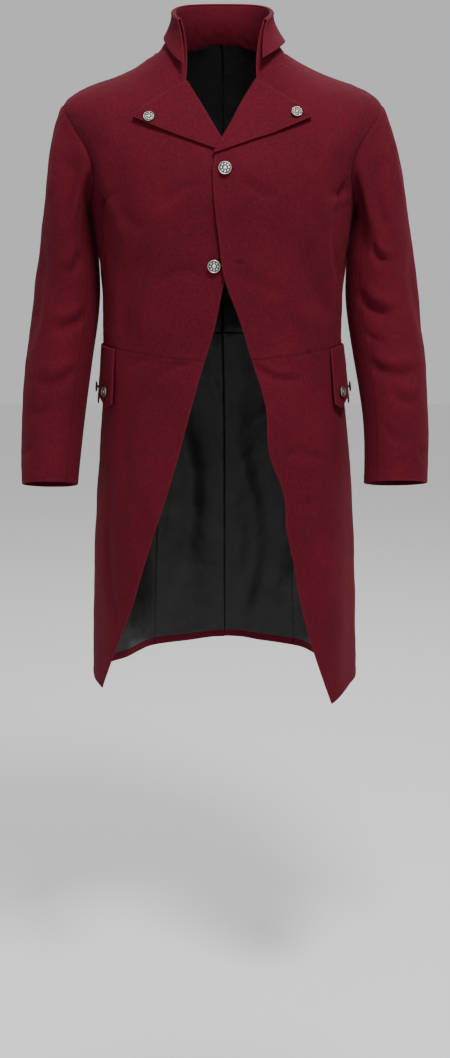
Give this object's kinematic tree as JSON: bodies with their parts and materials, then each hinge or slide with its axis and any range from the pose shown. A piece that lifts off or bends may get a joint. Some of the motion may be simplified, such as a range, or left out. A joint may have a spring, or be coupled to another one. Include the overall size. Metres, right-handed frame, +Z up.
{
  "type": "tailcoat",
  "caption": "Regency cutaway tailcoat in its worn shape, with a high collar, large pointed lapels, scalloped pocket flaps, long sleeves and swept skirts.",
  "frame": {"origin": "middle of the neck, level with the points where the collar meets the shoulders, where the coat hangs from its wearer", "axes": "+Z up along the coat's height, front faces -Y, +X is the wearer's left"},
  "size_m": [0.621, 0.3837, 1.0553],
  "materials": {
    "burgundy_cloth": "matt brushed twill",
    "black_lining": "slightly glossy lining cloth",
    "antiqued_metal": "antiqued, with a raised pattern"
  },
  "bodies": {
    "root": {"front_left": "burgundy_cloth", "side_left": "burgundy_cloth", "back_left": "burgundy_cloth", "skirt_left": "burgundy_cloth", "lapel_left": "burgundy_cloth", "pocket_flap_left": "burgundy_cloth", "front_right": "burgundy_cloth", "side_right": "burgundy_cloth", "back_right": "burgundy_cloth", "skirt_right": "burgundy_cloth", "lapel_right": "burgundy_cloth", "pocket_flap_right": "burgundy_cloth", "sleeve_left_upper": "burgundy_cloth", "sleeve_left_under": "burgundy_cloth", "sleeve_right_upper": "burgundy_cloth", "sleeve_right_under": "burgundy_cloth", "collar_stand": "burgundy_cloth", "collar_fall": "burgundy_cloth", "lining_skirt_left": "black_lining", "lining_back_left": "black_lining", "lining_skirt_right": "black_lining", "lining_back_right": "black_lining", "button_front_top": "antiqued_metal", "button_front_low": "antiqued_metal", "button_lapel_left": "antiqued_metal", "button_lapel_right": "antiqued_metal", "button_flap_left_1": "antiqued_metal", "button_flap_left_2": "antiqued_metal", "button_flap_left_3": "antiqued_metal", "button_flap_right_1": "antiqued_metal", "button_flap_right_2": "antiqued_metal", "button_flap_right_3": "antiqued_metal"}
  },
  "joints": []
}
